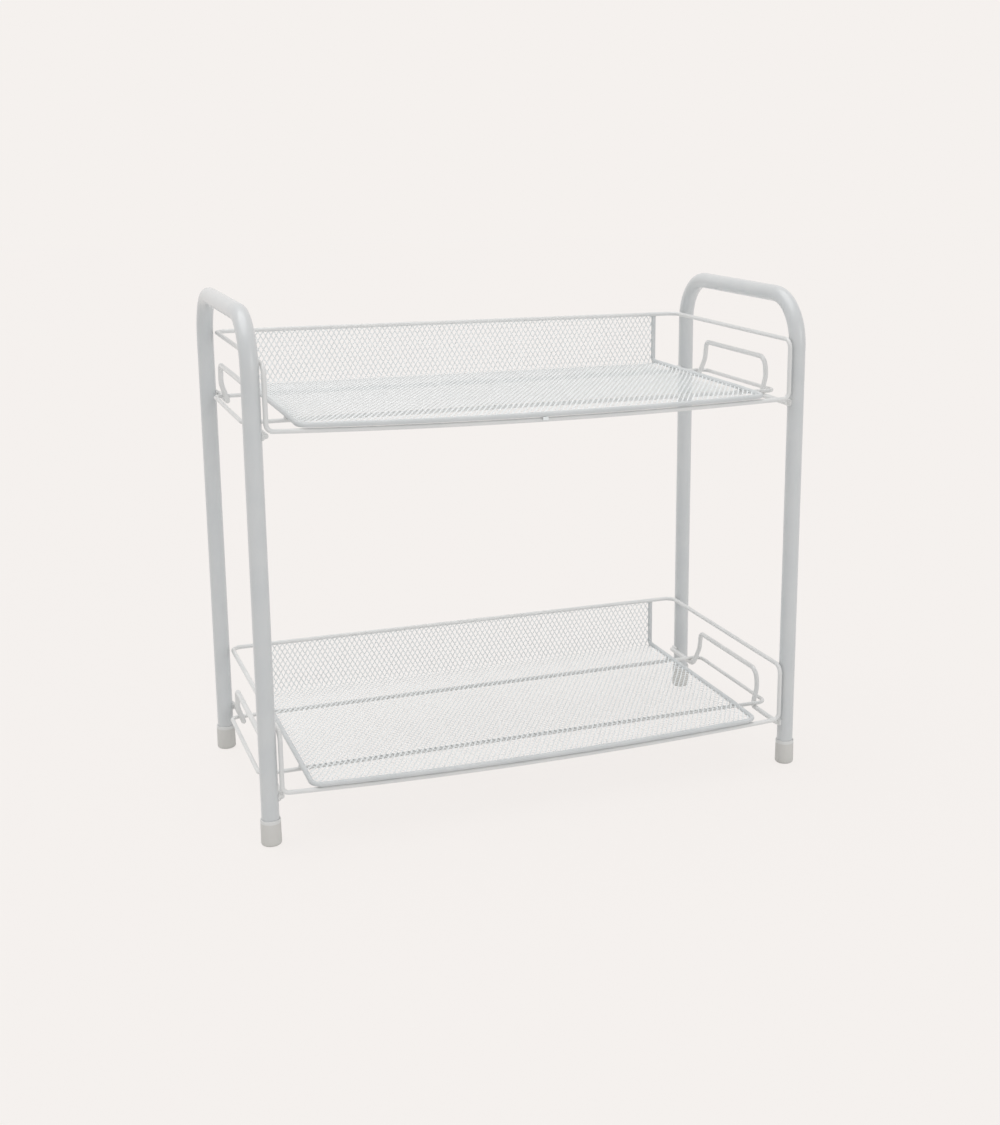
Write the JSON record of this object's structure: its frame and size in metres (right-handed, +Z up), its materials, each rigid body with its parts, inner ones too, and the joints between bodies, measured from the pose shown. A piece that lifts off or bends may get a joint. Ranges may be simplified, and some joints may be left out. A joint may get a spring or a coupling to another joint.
{
  "type": "two-tier shelf organizer",
  "caption": "Shelf organizer with bent-tube end frames on plastic foot caps and wire-rimmed expanded-metal trays that hook over looped wire brackets and lift off.",
  "frame": {"origin": "middle of the footprint, on the surface that the foot caps stand on", "axes": "+X along the shelves to the right, +Y from the open front to the back panels, +Z up"},
  "size_m": [0.442, 0.22, 0.392],
  "materials": {
    "tube_coat": "satin white powder coat on bent steel tube",
    "wire_coat": "satin white powder coat on steel wire",
    "mesh_coat": "satin white powder coat on expanded steel",
    "foot_plastic": "matte light grey moulded plastic"
  },
  "bodies": {
    "end_frames": {"left_frame": "tube_coat", "right_frame": "tube_coat", "left_front_foot_cap": "foot_plastic", "left_rear_foot_cap": "foot_plastic", "right_front_foot_cap": "foot_plastic", "right_rear_foot_cap": "foot_plastic", "left_lower_bracket": "wire_coat", "left_upper_bracket": "wire_coat", "right_lower_bracket": "wire_coat", "right_upper_bracket": "wire_coat"},
    "lower_shelf": {"lower_rail": "wire_coat", "lower_ring": "wire_coat", "lower_tray_rim": "wire_coat", "lower_floor_mesh": "mesh_coat", "lower_back_mesh": "mesh_coat"},
    "upper_shelf": {"upper_rail": "wire_coat", "upper_ring": "wire_coat", "upper_tray_rim": "wire_coat", "upper_floor_mesh": "mesh_coat", "upper_back_mesh": "mesh_coat", "upper_rim_lug": "wire_coat"}
  },
  "joints": [
    {"name": "lower_shelf_lift", "type": "slide", "parent": "end_frames", "child": "lower_shelf", "axis": [0, 0, 1], "range_m": [0, 0.21]},
    {"name": "upper_shelf_lift", "type": "slide", "parent": "end_frames", "child": "upper_shelf", "axis": [0, 0, 1], "range_m": [0, 0.069]}
  ]
}
